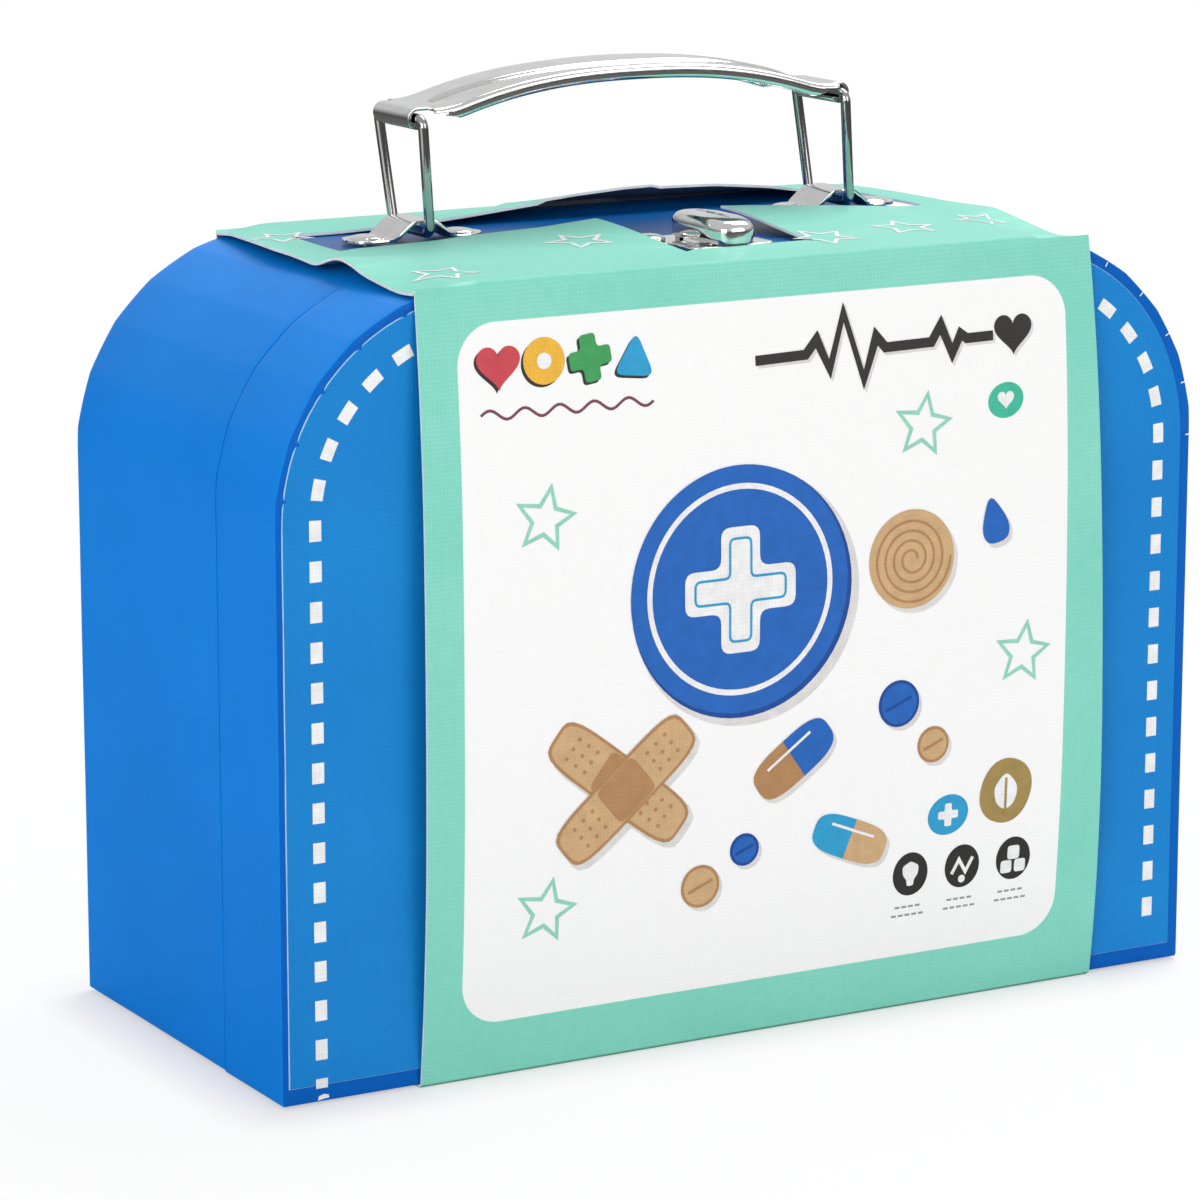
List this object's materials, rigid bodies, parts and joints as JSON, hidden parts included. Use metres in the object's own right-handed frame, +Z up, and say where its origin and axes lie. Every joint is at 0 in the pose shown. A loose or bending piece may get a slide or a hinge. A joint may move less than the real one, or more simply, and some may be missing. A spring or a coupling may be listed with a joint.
{
  "type": "toy doctor case",
  "caption": "Small wrapped paperboard suitcase with rounded upper corners, hinged lid, folding wire handle, snap latch, printed carton sleeve and wooden toy tools inside.",
  "frame": {"origin": "centre of the case's footprint on the surface that it stands on", "axes": "+X to the right across the front, the front faces -Y, +Z up"},
  "size_m": [0.2, 0.0925, 0.1836],
  "materials": {
    "board": "grey bookbinding board",
    "blue_wrap": "satin laminated print",
    "label": "linen embossed print",
    "lining": "matte",
    "sleeve_card": "linen embossed print",
    "plated_steel": "bright nickel plate",
    "bare_wood": "smooth sanded",
    "blue_wood": "painted",
    "white_wood": "painted",
    "kraft_paper": "matte"
  },
  "bodies": {
    "base": {"base_rim": "board", "base_floor": "board", "back_panel": "board", "base_wrap": "blue_wrap", "back_cover": "blue_wrap", "base_collar": "board", "base_lining": "lining", "outer_hinge_strip": "blue_wrap", "inner_hinge_strip": "lining", "left_handle_mount": "plated_steel", "right_handle_mount": "plated_steel", "handle_rivets": "plated_steel", "handle_backing_plates": "plated_steel", "latch_base": "plated_steel", "latch_pin": "plated_steel", "latch_rivets": "plated_steel", "sleeve_back": "sleeve_card", "bottle_body": "bare_wood", "bottle_cap": "blue_wood", "tube_body": "bare_wood", "tube_cap": "blue_wood", "syringe_barrel": "white_wood", "thermometer": "bare_wood", "tongue_spatula": "bare_wood", "hammer_handle": "bare_wood", "hammer_head": "bare_wood", "notepad": "kraft_paper"},
    "lid": {"lid_rim": "board", "lid_floor": "board", "front_panel": "board", "lid_wrap": "blue_wrap", "front_label": "label", "lid_lining": "lining", "latch_catch": "plated_steel", "catch_rivets": "plated_steel", "sleeve_front": "sleeve_card"},
    "left_bail": {"left_bail": "plated_steel"},
    "right_bail": {"right_bail": "plated_steel"},
    "grip": {"grip": "plated_steel"},
    "latch_lever": {"latch_lever": "plated_steel"},
    "plunger": {"syringe_plunger": "white_wood"}
  },
  "joints": [
    {"name": "lid_hinge", "type": "hinge", "parent": "base", "child": "lid", "pos_m": [0, -0.019, 0], "axis": [1, 0, 0], "range_deg": [0, 175], "deforming": ["outer_hinge_strip", "inner_hinge_strip"]},
    {"name": "handle_swing", "type": "hinge", "parent": "base", "child": "left_bail", "pos_m": [-0.043, 0.0125, 0.151], "axis": [0, 1, 0], "range_deg": [-72, 84]},
    {"name": "grip_pivot", "type": "hinge", "parent": "left_bail", "child": "grip", "pos_m": [-0.0453, 0.0125, 0.17288], "axis": [0, 1, 0], "range_deg": [-84, 72]},
    {"name": "right_bail_swing", "type": "hinge", "parent": "base", "child": "right_bail", "pos_m": [0.051, 0.0125, 0.151], "axis": [0, 1, 0], "range_deg": [-72, 84]},
    {"name": "latch_flip", "type": "hinge", "parent": "base", "child": "latch_lever", "pos_m": [0.004, -0.013, 0.152], "axis": [-1, 0, 0], "range_deg": [0, 100]},
    {"name": "plunger_push", "type": "slide", "parent": "base", "child": "plunger", "axis": [-1, 0, 0], "range_m": [0, 0.022]}
  ],
  "couplings": [
    {"joint": "grip_pivot", "follows": "handle_swing", "ratio": -1},
    {"joint": "right_bail_swing", "follows": "handle_swing", "ratio": 1}
  ]
}
